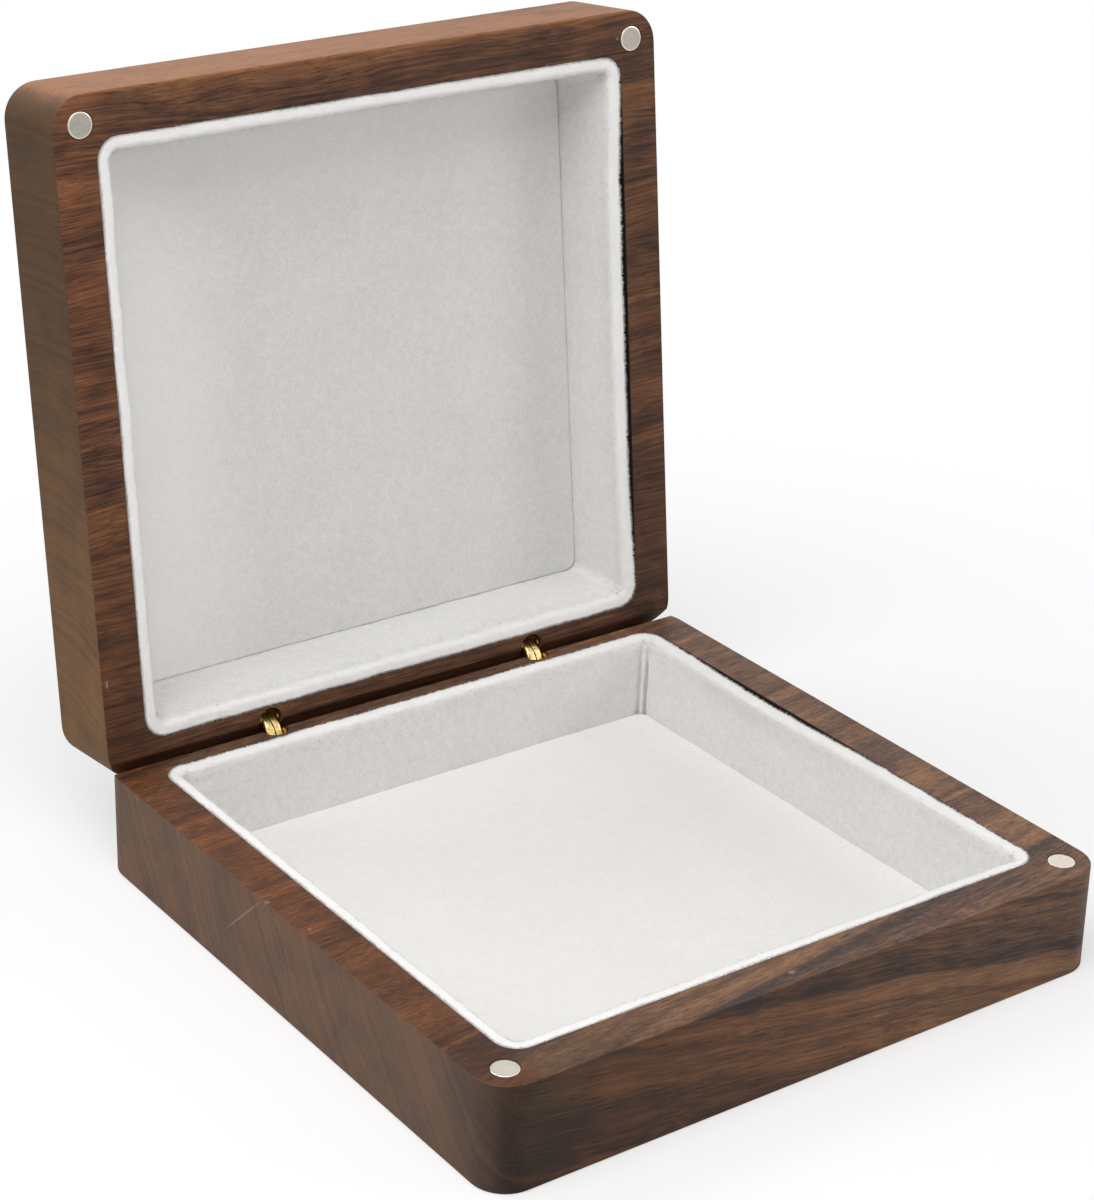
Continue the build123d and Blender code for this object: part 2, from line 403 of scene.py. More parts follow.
RING_WANDER = (((0.012, 0.02, 0.02), 7.0), ((0.045, 0.09, 0.09), 2.4), ((0.22, 0.45, 0.45), 0.6))
DRIFT_SCALE = (0.035, 0.09, 0.09)
DRIFT_REACH = (0.0, 3.2, 3.2)
STREAK_SCALE = (0.036, 2.0, 2.0)
FIBRE_SCALE = (0.14, 4.6, 4.6)
PORE_SCALE = (0.22, 3.2, 3.2)
FINE_LINE_SCALE = 0.75
CHIP_SHOWS = 0.6
CARD_GAP = 0.35
OUTER_SKIN = 1.2


def growth_rings(graph, cut, side, front, depth):
    """The place in the block, and its distance from the heart, which wanders a little along the grain."""
    across = front + side * cut["run_out"][0]
    down = depth + side * cut["run_out"][1]
    block = graph.combine(side + cut["seed"], across + cut["seed"], down)
    ring = graph.length(graph.combine(0.0, across - cut["heart"][0], down - cut["heart"][1]))
    for scale, push in RING_WANDER:
        ring = ring + (graph.noise(graph.multiply(block, scale)) - 0.5) * push
    return block, ring


def pocket_wall_shade(graph, half, side, front, depth):
    """1 on the pocket's own walls, painted near black as shade, which show as a dark line where the lining
    stands off.
    """
    low, high = local_box(f"{half}_wall_card", half)
    middle = (low.y + high.y) / 2 / MM
    start, end = CARD_GAP, CARD_GAP + 0.1
    half_width, half_length = high.x / MM, high.y / MM - middle
    inside = 1 - graph.step(abs(side), half_width + start, half_width + end)
    inside = inside * (1 - graph.step(abs(front - middle), half_length + start, half_length + end))
    outer_face = local_box(f"{half}_shell", half)[1].z / MM
    inside = inside * graph.step(depth, 0.02, 0.12)
    return inside * (1 - graph.step(depth, outer_face - OUTER_SKIN, outer_face - OUTER_SKIN + 0.4))


def walnut(name, look, half, cut, end_color):
    """Oiled walnut with its grain along the box's width; cut says how a half lay in its block."""
    graph = new_material(name)
    rim = RIMS[half]
    local = graph.mapping(graph.place(), rim.translation, rim.to_euler(), (MM,) * 3)
    side, front, depth = graph.split(local)
    facing = graph.split(graph.node("ShaderNodeTexCoord", output="Normal"))

    # Light and dark bands follow the rings
    block, ring = growth_rings(graph, cut, side, front, depth)
    band = graph.streak(ring, MM / look.band_width, roughness=0.55)
    lines = graph.streak(ring, MM / look.line_gap, detail=3.0, roughness=0.65)
    fine_lines = graph.streak(ring, FINE_LINE_SCALE, detail=3.0, roughness=0.6)
    late = 1 - graph.step(lines, 0.30, 0.42)
    figure = 0.0
    for position, width, amount in cut["figure"]:
        figure = (1 - graph.step(abs(ring - position), 0.0, width)) * amount + figure

    # Long streaks, fibres and short dark pores drift a little across the grain
    drift = graph.noise(graph.multiply(block, DRIFT_SCALE), output="Color")
    fibre_place = graph.vectors("ADD", block, graph.multiply(drift, DRIFT_REACH))
    streaks = graph.noise(graph.multiply(fibre_place, STREAK_SCALE), detail=3.0, roughness=0.62)
    fibre = graph.noise(graph.multiply(fibre_place, FIBRE_SCALE), detail=3.0, roughness=0.7)
    pore = graph.step(graph.noise(graph.multiply(fibre_place, PORE_SCALE)), 0.64, 0.74)
    mottle = graph.noise(block, scale=0.12, detail=3.0, roughness=0.6)
    grain = graph.noise(block, scale=2.6, detail=3.0, roughness=0.65)

    # Long grain, from dark to light, with the pores and late wood darker
    tone = swing((band, 0.55), (lines, 0.40), (streaks, 1.05), (fibre, 0.95), (mottle, 0.55))
    # Towards the front edge the wood is paler, partly its own tone and partly painted light from above
    pale = graph.step(front, *cut["pale_lit_edge"])
    tone = tone * cut["contrast"] + figure + cut["tone"] + pale * 0.22
    stops = ((0.18, look.dark), (0.42, look.middle), (0.62, look.warm), (0.88, look.light))
    long_color = graph.node("ShaderNodeValToRGB", {"stops": stops}, (tone + 0.5,))
    long_color = graph.blend(pore * 0.5, long_color, look.dark)
    long_color = graph.blend(late * 0.35 * cut["contrast"], long_color, look.dark)

    # End grain, in warm and cool patches
    shade = swing((band, 0.25), (fine_lines, 0.50)) + grain * 0.36 + mottle * 0.65 + 0.42
    warmth = graph.step(fine_lines * 0.5 + mottle * 0.5, 0.38, 0.62)
    warm_or_cool = graph.blend(warmth, (0.92, 0.98, 1.05), (1.08, 1.02, 0.90))
    end_wood = graph.multiply(graph.tint(end_color, shade + figure * 0.8), warm_or_cool)

    end = graph.step(abs(facing[0]), 0.40, 0.90)
    color = graph.blend(end, long_color, end_wood)
    # Painted shade and light from the half's shading, the front edge painted lighter, then the toning,
    # part of it painted sheen
    color = graph.tint(color, cut["shading"](graph, side, front, facing))
    color = graph.tint(color, 1 + pale * 0.18)
    color = graph.multiply(color, cut["toning"](graph, side, facing))
    for centre, turn, size in cut["marks"]:
        spot = graph.length(graph.mapping(local, centre, (turn, 0, 0), size))
        spot = (1 - graph.step(spot, 0.5, 1.0)) * graph.step(grain, 0.28, 0.50)
        color = graph.blend(spot * CHIP_SHOWS, color, look.scratch)
    # The pocket walls painted near black as shade
    color = graph.blend(pocket_wall_shade(graph, half, side, front, depth), color, look.pocket)

    height = (streaks * 0.5 + fibre * 0.6 - pore * 1.2) * (1 - end) + grain * end * 0.5
    rough = look.roughness + (fibre - 0.5) * 0.2 + pore * 0.2 + end * 0.12
    return graph.finish(
        Base_Color=color, Roughness=rough, Normal=graph.bump(height, 0.07 * MM, 0.6),
        Specular_IOR_Level=cut["gloss"])


def base_shading(graph, side, front, facing):
    """Painted shade on the base: darker round its front left corner, there on the rim, and on the front.
    """
    # All three terms are painted shade, not the wood's own colour
    upright = 1 - graph.step(abs(facing[2]), 0.2, 0.8)
    to_corner = graph.length(graph.combine(side - BASE_LOW.x / MM, front + BASE_LOW.y / MM, 0.0))
    corner = 1 - graph.step(to_corner, 1.0, 20.0)
    rim_corner = (1 - graph.step(to_corner, 0.0, 42.0)) * graph.faces(facing[2])
    ahead = graph.faces(-facing[1]) * (1 - graph.step(side, -70.0, 25.0))
    return (1 - upright * corner * 0.50) * (1 - upright * ahead * 0.55) * (1 - rim_corner * 0.42)


def base_toning(graph, side, facing):
    """The base's rim and front: redder at the left in the wood's own tone, and paler towards the right as
    painted sheen.
    """
    corner, left, right = (0.96, 0.79, 0.53), (0.90, 1.09, 1.28), (1.24, 1.44, 1.66)
    rim = graph.blend(graph.step(side, -40.0, 54.0), left, right)
    rim = graph.blend(graph.step(side, -54.0, -50.0), corner, rim)
    # The pale right-hand tints are painted sheen standing in for reflected light
    front_left, front_right = (0.91, 0.82, 0.62), (1.04, 1.20, 1.33)
    ahead = graph.blend(graph.step(side, -50.0, 50.0), front_left, front_right)
    tinted = graph.blend(graph.faces(facing[2]), WHITE, rim)
    return graph.blend(graph.faces(-facing[1]), tinted, ahead)


def lid_shading(graph, side, front, facing):
    """Painted shade and light on the lid: its end faces darker away from the hinges, and its rim darker
    near them and at right.
    """
    end = graph.step(abs(facing[0]), 0.4, 0.9)
    near_hinge = (1 - graph.step(front, -70.0, 40.0)) * 0.24
    right = (1 - graph.step(side, -58.0, -30.0)) * 0.14
    left = graph.step(side, 48.0, 54.0) * (graph.step(front, -50.0, 20.0) * 0.22 - 0.10)
    below = (1 - graph.step(front, -52.0, -48.0)) * (1 - graph.step(abs(side), 46.0, 52.0)) * 0.17
    end_dark = end * (graph.step(front, -50.0, 30.0) * 0.49 + 0.06)
    return 1.06 - end_dark - graph.faces(-facing[1]) * (near_hinge + right - left - below)


def lid_toning(graph, side, facing):
    """The lid's rim, redder at its left side."""
    left = graph.step(side, 48.0, 54.0) * graph.faces(-facing[1])
    return graph.blend(left, WHITE, (1.06, 0.98, 0.90))


# How each half lay in its block: how far the grain runs out, the heart of the rings, where the wood turns
# pale towards its front edge, partly its own tone and partly painted light from above (past the edge on
# the base, which stays dark), single bands as (distance from the heart, width, strength), and marks as
# (centre, turn, size)

BASE_CUT = {
    "seed": 0.0, "run_out": (0.04, -0.15), "heart": (146.0, -73.0), "tone": 0.0, "contrast": 0.90,
    "gloss": 0.32, "pale_lit_edge": (80.0, 90.0), "shading": base_shading, "toning": base_toning,
    "figure": ((115.4, 1.3, -0.26), (117.8, 2.2, 0.20), (132.1, 0.7, 0.30), (198.9, 0.8, 0.25)),
    "marks": (
        ((-60.0, -11.45, 5.60), math.radians(-43), (0.5, 9.4, 0.17)),
        ((-59.6, -4.5, 0.2), 0.0, (0.6, 0.7, 0.5)), ((-58.3, 6.1, 0.0), 0.0, (0.35, 0.4, 0.4)),
        ((-3.8, 56.4, 0.0), 0.0, (0.9, 0.5, 0.4))),
}
LID_CUT = {
    "seed": 140.0, "run_out": (0.02, 0.03), "heart": (-78.5, 20.0), "tone": -0.02, "contrast": 0.90,
    "gloss": 0.22, "pale_lit_edge": (58.2, 58.9), "shading": lid_shading, "toning": lid_toning,
    "figure": ((96.0, 2.0, -0.12),),
    "marks": (
        ((59.0, -40.5, 0.0), 0.0, (0.30, 0.9, 0.5)), ((-51.8, 54.3, 0.0), 0.0, (0.4, 0.3, 0.5))),
}


# Velvet, metal and card

def velvet(name, look):
    """Short white pile: mottled, matt, and painted lighter over the lip as sheen where the pile catches
    the light.
    """
    graph = new_material(name)
    place = graph.place_in_mm()
    pile = graph.noise(place, scale=3.2, detail=4.0, roughness=0.75)
    clump = graph.noise(place, scale=0.75, detail=3.0, roughness=0.6)
    brushed = graph.noise(place, scale=0.07, detail=2.0)
    lip = graph.node("ShaderNodeAttribute", {"attribute_name": "lip"}, output="Fac")
    raised = graph.step(pile * 0.64 + clump * 0.24 + brushed * 0.12, 0.34, 0.64)
    color = graph.blend(raised, look.shade, look.color)
    # Painted sheen: lighter where the lip attribute is high
    color = graph.blend(lip * (0.60 + pile * 0.5), color, look.lip)
    height = pile * 0.6 + clump * 0.6
    return graph.finish(
        Base_Color=color, Roughness=0.95, Specular_IOR_Level=0.15, Sheen_Weight=0.5,
        Sheen_Roughness=0.5, Normal=graph.bump(height, 0.22 * MM, 0.5))


def metal(name, color, roughness, scratch, wear):
    """Plated or drawn metal with fine scratches and a little tarnish."""
    graph = new_material(name)
    place = graph.place_in_mm()
    scratches = graph.noise(graph.multiply(place, (9.0, 1.2, 9.0)), detail=2.0, roughness=0.6)
    spots = graph.noise(place, scale=1.6, detail=3.0, roughness=0.6)
    tone = 1.0 - wear * graph.step(spots, 0.42, 0.68)
    return graph.finish(
        Base_Color=graph.tint(color, tone), Metallic=1.0,
        Roughness=roughness + swing((scratches, scratch), (spots, 0.12)),
        Normal=graph.bump(scratches, 0.01 * MM, 0.4))


def magnet_face(name, color, painted_face_level, centre, radius):
    """Plated disc: a painted highlight on its turned edge, round a face painted darker."""
    graph = new_material(name)
    gap = graph.vectors("DISTANCE", graph.place(), centre, output="Value")
    edge = graph.step(gap * (1 / radius), 0.80, 0.90)
    place = graph.place_in_mm()
    spots = graph.noise(place, scale=1.5, detail=3.0, roughness=0.6)
    scratches = graph.noise(graph.multiply(place, (6.0, 1.0, 6.0)), detail=2.0, roughness=0.6)
    # Painted highlight on the edge; the face is painted darker by its level
    tone = edge * (1 - painted_face_level) + (spots - 0.5) * 0.22 + painted_face_level
    rough = 0.46 - edge * 0.22 + (scratches - 0.5) * 0.25
    return graph.finish(
        Base_Color=graph.tint(color, tone), Metallic=1.0, Roughness=rough,
        Normal=graph.bump(scratches, 0.012 * MM, 0.4))


def card(name, color):
    """Plain card with a slight tooth."""
    graph = new_material(name)
    tooth = graph.noise(graph.place_in_mm(), scale=2.5, detail=3.0, roughness=0.6)
    return graph.finish(
        Base_Color=graph.tint(color, 0.8 + tooth * 0.4), Roughness=0.9,
        Normal=graph.bump(tooth, 0.05 * MM, 0.5))


def disc_face(node):
    """Centre and radius of a magnet's face."""
    half = node.split("_")[0]
    low, high = local_box(node, half)
    centre = (low + high) / 2
    centre.z = low.z
    return RIMS[half] @ centre, (high.x - low.x) / 2


def dress(nodes, material):
    """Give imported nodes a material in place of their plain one."""
    for node in nodes:
        for material_slot in frame["nodes"][node].material_slots:
            material_slot.material = material


class MakeBox:
    """What every operator of the box shares."""

    bl_options = {"REGISTER", "UNDO"}


class BOX_OT_wood(MakeBox, bpy.types.Operator):
    """Finish both halves in oiled walnut, the grain of each along its width"""

    bl_idname = "jewelry_box.wood"
    bl_label = "Oil the Walnut"

    def execute(self, context):
        look = context.scene.box_walnut
        dress(["base_shell"], walnut("walnut_base", look, "base", BASE_CUT, look.base_end))
        dress(["lid_shell"], walnut("walnut_lid", look, "lid", LID_CUT, look.lid_end))
        return {"FINISHED"}


# How bright the magnets' faces are painted against their edges: the lid's darker, as painted shade for the
# darker room they reflect
MAGNET_PAINTED_FACE_LEVEL = {"base": 0.84, "lid": 0.50}


class BOX_OT_metal(MakeBox, bpy.types.Operator):
    """Finish the hinges, their pins, the magnets and the card"""

    bl_idname = "jewelry_box.metal"
    bl_label = "Finish the Metal"

    def execute(self, context):
        look = context.scene.box_metal
        names = list(frame["nodes"])
        brass = metal("brass", look.brass, roughness=0.24, scratch=0.20, wear=0.35)
        steel = metal("steel", look.steel, roughness=0.35, scratch=0.20, wear=0.15)
        board = card("card", look.board)
        dress([n for n in names if "barrel" in n or "leaf" in n], brass)
        for node in (n for n in names if "magnet" in n):
            painted_face_level = MAGNET_PAINTED_FACE_LEVEL[node.split("_")[0]]
            dress([node], magnet_face(node, look.nickel, painted_face_level, *disc_face(node)))
        dress([n for n in names if "_pin_" in n], steel)
        dress([n for n in names if "card" in n or "board" in n], board)
        return {"FINISHED"}


# The velvet strip. Its section runs from its foot behind the card, up and over the card, round its lip
# and down its face to its foot in front.

STRIP_DROP = 0.10 * MM          # lip below the rim
CARD_COVER = 1.40 * MM          # velvet above the card
CARD_THICKNESS = 1.05 * MM
BACK_ROUND = 0.50 * MM
FRONT_ROUND = 0.95 * MM
STRIP_BELLY = 0.22 * MM         # how far the face swells in the middle
STRIP_TOP_RADIUS = 1.7 * MM     # corners of the face at the rim, at the foot, and of the back
STRIP_FOOT_RADIUS = 1.8 * MM
STRIP_OUTER_RADIUS = 3.75 * MM
PATH_STEP = 0.5 * MM
CORNER_STEPS = 22
ROUND_STEPS = 7
FACE_STEPS = 30
SEAM_SHARE = 0.7                # place of the seam in the turn of the rear right corner
LEAN_REACH = 4.5 * MM           # how far down the strip leans and wanders
WANDER, WANDER_SIZE = 0.22 * MM, 9 * MM
TOUCH = -0.20 * MM              # pressed against the wood
SEAM_WIDTH, SEAM_DEPTH = 0.45 * MM, 1.05 * MM
FOLD_WIDTH, FOLD_DEPTH = 0.60 * MM, 0.75 * MM
FOLD_GAP = 2.6 * MM             # from the seam to the fold beside it
CREASE_START = 1.2 * MM         # below the rim, and how far it takes to grow deep
CREASE_GROWS = 5 * MM
STRIP_DIMPLES = ((0.55 * MM, 0, 0.09 * MM), (1.7 * MM, 5, 0.10 * MM), (7 * MM, 9, 0.10 * MM))

# Places in the section's list of points: the lip's first, its top in front, and the last with fibres
LIP_FIRST = 3
LIP_EDGE = LIP_FIRST + ROUND_STEPS + 1
LIP_LAST = LIP_EDGE + ROUND_STEPS + 1 + 3
LIP_DEPTH = 1.5 * MM            # how far down the lip is painted lighter as sheen
PROUD = 0.085 * MM              # most that a fibre stands above the rim
FIBRE_ROOT = 0.05 * MM          # how deep a fibre starts

# Fibres on the lip's back edge and in front of it: their places in the section, their shortest and longest
# share of the pile's length, how wildly they stand and half their width
EDGE_FIBRES = (LIP_FIRST + 2, LIP_EDGE, 0.35, 0.95, 0.80, 0.060 * MM)
FACE_FIBRES = (LIP_EDGE, LIP_LAST, 0.30, 1.00, 0.75, 0.036 * MM)

# The pads
PAD_STEPS = 150
PAD_SPREAD = 0.65 * MM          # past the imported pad, to meet the strips
PAD_EDGE = 0.60 * MM
PAD_CORNER = 2.4 * MM
PAD_CROWN, CROWN_REACH = 0.30 * MM, 14 * MM
PAD_EDGE_RISE = 0.45 * MM       # thickness left at the very edge
PAD_DIMPLES = ((0.7 * MM, 0, 0.05 * MM), (2.2 * MM, 3, 0.06 * MM), (16 * MM, 6, 0.12 * MM))


def hump(value, low, high):
    """A hump of height 1 between low and high."""
    if not low < value < high:
        return 0.0
    return math.sin(math.pi * (value - low) / (high - low)) ** 2


def groove(gap, width):
    """Soft groove: 1 at its bottom."""
    return math.exp(-((gap / width) ** 2))


def jitter(point, size, seed):
    """Smooth noise from -1 to 1 at a place."""
    return noise.noise(point / size + Vector((seed, 2.0 * seed, -seed)))


def dimples(point, layers, seed):
    """Height of the pile's dimples at a place, from layers of (size, seed, height)."""
    return sum(jitter(point, size, seed + number) * height for size, number, height in layers)


def new_mesh(name, points, faces):
    """A smooth shaded mesh."""
    mesh = bpy.data.meshes.new(name)
    mesh.from_pydata(points, [], faces)
    mesh.validate()
    mesh.polygons.foreach_set("use_smooth", [True] * len(mesh.polygons))
    return mesh


def new_piece(name, half, points, faces, painted_sheen):
    """A piece made in a half's own directions; the last argument says where its velvet is painted lighter.
    """
    mesh = new_mesh(name, [RIMS[half] @ point for point in points], faces)
    piece = bpy.data.objects.new(name, mesh)
    bpy.context.scene.collection.objects.link(piece)
    mesh.attributes.new("lip", "FLOAT", "POINT").data.foreach_set("value", painted_sheen)
    return piece


def rounded_outline(width, length, radius, centre, edge_steps):
    """Loop of points round a rectangle with round corners, from the seam in its rear right corner."""
    points = []
    quarter = math.pi / 2
    reach = Vector((width / 2 - radius, length / 2 - radius))
    seam = round(CORNER_STEPS * SEAM_SHARE)
    corners = ((1, -1), (1, 1), (-1, 1), (-1, -1), (1, -1))
    last_corner = len(corners) - 1
    for index, (side, end) in enumerate(corners):
        middle = Vector((side * reach.x, end * reach.y))
        start = -quarter + index * quarter
        first = seam if index == 0 else 0
        stop = seam if index == last_corner else CORNER_STEPS + 1
        for count in range(first, stop):
            angle = start + quarter * count / CORNER_STEPS
            points.append(centre + middle + radius * Vector((math.cos(angle), math.sin(angle))))
        if index < last_corner:
            gap = 2 * (reach.y if index % 2 == 0 else reach.x)
            steps = edge_steps[index % 2]
            heading = Vector((-math.sin(start + quarter), math.cos(start + quarter)))
            edge = points[-1].copy()
            points.extend(edge + heading * gap * count / steps for count in range(1, steps))
    return points


def strip_section(depth, top, foot):
    """Section of the padded strip as (offset from its outside, depth below the rim)."""
    over_card = CARD_COVER + STRIP_DROP
    points = [(CARD_THICKNESS, depth), (CARD_THICKNESS, over_card), (0.0, over_card)]
    turns = [math.pi / 2 * count / ROUND_STEPS for count in range(ROUND_STEPS + 1)]
    for turn in turns:
        across = BACK_ROUND * (1 - math.cos(turn))
        points.append((across, STRIP_DROP + BACK_ROUND * (1 - math.sin(turn))))
    for turn in turns:
        across = top - FRONT_ROUND * (1 - math.sin(turn))
        points.append((across, STRIP_DROP + FRONT_ROUND * (1 - math.cos(turn))))
    start = points[-1][1]
    for count in range(1, FACE_STEPS + 1):
        share = count / FACE_STEPS
        down = start + (depth - start) * share
        thickness = top + (foot - top) * (down / depth)
        points.append((thickness + STRIP_BELLY * math.sin(math.pi * share), down))
    return points


def strip_points(low, high, look, lean, creased, seed):
    """Points of the strip, section by section round the pocket, with its outlines and their length."""
    centre = Vector(((low.x + high.x) / 2, (low.y + high.y) / 2))
    width, length, depth = high.x - low.x, high.y - low.y, high.z
    edge_steps = (round(length / PATH_STEP), round(width / PATH_STEP))
    outer, rim_inner, foot_inner = [
        rounded_outline(width - 2 * thick, length - 2 * thick, radius, centre, edge_steps)
        for thick, radius in (
            (0.0, STRIP_OUTER_RADIUS), (look.top_thickness, STRIP_TOP_RADIUS),
            (look.foot_thickness, STRIP_FOOT_RADIUS))]
    along = [0.0]
    for before, after in zip(outer, outer[1:]):
        along.append(along[-1] + (after - before).length)
    total = along[-1]

    section = strip_section(depth, look.top_thickness, look.foot_thickness)
    points = []
    for index, outside in enumerate(outer):
        to_seam = min(along[index], total - along[index])
        to_fold = abs(total - along[index] - FOLD_GAP)
        creases = groove(to_seam, SEAM_WIDTH) * SEAM_DEPTH + groove(to_fold, FOLD_WIDTH) * FOLD_DEPTH
        pull = lean(outside)
        wander = jitter(Vector((*outside, 0.0)), WANDER_SIZE, seed) * WANDER
        for offset, down in section:
            share = down / depth
            thick = look.top_thickness + (look.foot_thickness - look.top_thickness) * share
            inward = (rim_inner[index].lerp(foot_inner[index], share) - outside) / thick
            lip = max(0.0, 1 - down / LEAN_REACH)
            below = min(1.0, max(0.0, (down - CREASE_START) / CREASE_GROWS))
            sunk = creases * creased * below * (offset / thick)
            offset = max(offset + (pull + wander * lip) * lip, min(offset, TOUCH)) - sunk
            place = outside + inward * offset
            points.append(Vector((place.x, place.y, down)))
    return points, len(section), outer, rim_inner, total


def tube_faces(count, ring):
    """Faces of a closed tube of count sections with ring points each."""
    faces = []
    for index in range(count):
        after = (index + 1) % count
        for step in range(ring):
            following = (step + 1) % ring
            faces.append((
                index * ring + step, index * ring + following,
                after * ring + following, after * ring + step))
    return faces


def add_fibre(points, faces, root, direction, length, width):
    """One tapered fibre with three sides."""
    side = direction.orthogonal().normalized() * width
    across = direction.cross(side).normalized() * width
    first = len(points)
    tip = root + direction * length
    points.extend((root + side, root - side / 2 + across, root - side / 2 - across, tip))
    faces.extend(((first, first + 1, first + 3), (first + 1, first + 2, first + 3),
                  (first + 2, first, first + 3), (first + 2, first + 1, first)))


def make_wall_strip(half, look, lean, creased, seed):
    """The padded strip round a pocket, creased beside its seam, with a fringe of pile on its lip."""
    low, high = local_box(f"{half}_wall_velvet", half)
    points, ring, outer, rim_inner, total = strip_points(low, high, look, lean, creased, seed)
    count = len(outer)
    smooth = new_mesh(f"{half}_smooth_strip", points, tube_faces(count, ring))
    normals = [vertex.normal.copy() for vertex in smooth.vertices]
    points = [vertex.co.copy() for vertex in smooth.vertices]
    faces = [tuple(polygon.vertices) for polygon in smooth.polygons]
    bpy.data.meshes.remove(smooth)
    for index, point in enumerate(points):
        if index % ring >= LIP_FIRST:
            points[index] = point + normals[index] * dimples(point, STRIP_DIMPLES, seed)

    draw = random.Random(seed)
    for number in range(int(total / MM * look.pile_density)):
        index = draw.randrange(count)
        on_edge = number % 5 < 3    # three of every five
        first, stop, shortest, longest, wildness, width = EDGE_FIBRES if on_edge else FACE_FIBRES
        step = draw.randrange(first, stop)
        near = index * ring + step
        after = (index + 1) % count * ring + step
        root = points[near].lerp(points[after], draw.random())
        spread = Vector((draw.uniform(-1, 1), draw.uniform(-1, 1), draw.uniform(-0.6, 0.6)))
        outward = (outer[index] - rim_inner[index]).normalized()
        leaning = Vector((*outward, -0.5)) if on_edge else normals[near]
        direction = (leaning + spread * wildness).normalized()
        size = look.pile_length * draw.uniform(shortest, longest)
        tip = root.z + direction.z * size
        direction.z = (max(tip, -PROUD * draw.uniform(0.5, 1.0)) - root.z) / size
        add_fibre(points, faces, root - normals[near] * FIBRE_ROOT, direction, size, width)
    painted_sheen = [max(0.0, 1 - max(0.0, point.z) / LIP_DEPTH) for point in points]
    return new_piece(f"{half}_lining_strip", half, points, faces, painted_sheen)


def pad_point(x, y, reach):
    """A place on a pad, drawn in at the round corners, and its distance from the pad's edge."""
    past_x = abs(x) - (reach.x - PAD_CORNER)
    past_y = abs(y) - (reach.y - PAD_CORNER)
    outside = math.hypot(max(past_x, 0.0), max(past_y, 0.0)) + min(max(past_x, past_y), 0.0)
    inside = PAD_CORNER - outside
    if inside >= 0:
        return x, y, inside
    scale = PAD_CORNER / math.hypot(past_x, past_y)
    x = math.copysign(reach.x - PAD_CORNER + past_x * scale, x)
    y = math.copysign(reach.y - PAD_CORNER + past_y * scale, y)
    return x, y, 0.0


def make_pad(half, pad_light, seed):
    """A velvet pad: low crown and soft rounded edge; the last argument says how much lighter its velvet is
    painted at a place.
    """
    low, high = local_box(f"{half}_pad_velvet", half)
    centre = (low + high) / 2
    reach = Vector(((high.x - low.x) / 2, (high.y - low.y) / 2)) + Vector((PAD_SPREAD, PAD_SPREAD))
    rise = high.z - low.z - PAD_EDGE_RISE
    rows = PAD_STEPS + 1
    spacing = [math.sin((2 * row / PAD_STEPS - 1) * math.pi / 2) for row in range(rows)]
    points = []
    for along_y in spacing:
        for along_x in spacing:
            x, y, inside = pad_point(reach.x * along_x, reach.y * along_y, reach)
            fall = 1 - min(inside / PAD_EDGE, 1.0)
            round_edge = 1 - math.sqrt(max(0.0, 1 - fall * fall))
            crown = PAD_CROWN * (1 - min(inside / CROWN_REACH, 1.0)) ** 2
            point = Vector((centre.x + x, centre.y + y, low.z + crown + round_edge * rise))
            point.z += dimples(point, PAD_DIMPLES, seed)
            points.append(point)
    faces = []
    for row in range(PAD_STEPS):
        for column in range(PAD_STEPS):
            first = row * rows + column
            faces.append((first, first + rows, first + rows + 1, first + 1))

    # Walls round the edge and a flat back
    border = list(range(rows))
    border += [row * rows + PAD_STEPS for row in range(1, rows)]
    border += [PAD_STEPS * rows + column for column in range(PAD_STEPS - 1, -1, -1)]
    border += [row * rows for row in range(PAD_STEPS - 1, 0, -1)]
    first, size = len(points), len(border)
    points.extend(Vector((points[index].x, points[index].y, high.z - 0.02 * MM)) for index in border)
    for index in range(size):
        following = (index + 1) % size
        faces.append((border[index], border[following], first + following, first + index))
    faces.append(tuple(range(first, first + size)))
    return new_piece(f"{half}_lining_pad", half, points, faces, [pad_light(point) for point in points])


RIGHT_WALL = (51.0, 53.5)       # where a strip's outline runs along the right wall, mm from the middle


def base_lean(place):
    """How far the base's strip stands off the wood at its lip: most along the rear of the right wall."""
    on_right = hump(place.x / MM, *RIGHT_WALL)
    return TOUCH + on_right * 1.15 * MM * hump(place.y / MM, -52.0, 20.0)


def lid_lean(place):
    """The lid's strip stands off along its right wall, which is at local X below zero."""
    on_right = hump(-place.x / MM, *RIGHT_WALL)
    return TOUCH + on_right * 0.95 * MM * min(1.0, 2.0 * hump(place.y / MM, -58.0, 58.0))


def base_pad_light(place):
    """The base's pad, painted evenly lighter all over."""
    return 0.6


def lid_pad_light(place):
    """The lid's pad, painted lighter towards its left side and its front."""
    to_left = 0.95 * max(0.0, min(1.0, (place.x / MM - 20.0) / 28.0))
    to_front = 0.70 * max(0.0, min(1.0, (place.y / MM - 28.0) / 22.0))
    return max(to_left, to_front)


def turn_outwards(piece):
    """Make a piece's faces point outwards."""
    bpy.ops.object.select_all(action="DESELECT")
    piece.select_set(True)
    bpy.context.view_layer.objects.active = piece
    bpy.ops.object.mode_set(mode="EDIT")
    bpy.ops.mesh.select_all(action="SELECT")
    bpy.ops.mesh.normals_make_consistent(inside=False)
    bpy.ops.object.mode_set(mode="OBJECT")


# Each half's seed, how its strip leans, how deep its creases are and where its pad is painted lighter
LININGS = {
    "base": (11, base_lean, 1.0, base_pad_light),
    "lid": (12, lid_lean, 0.0, lid_pad_light),
}


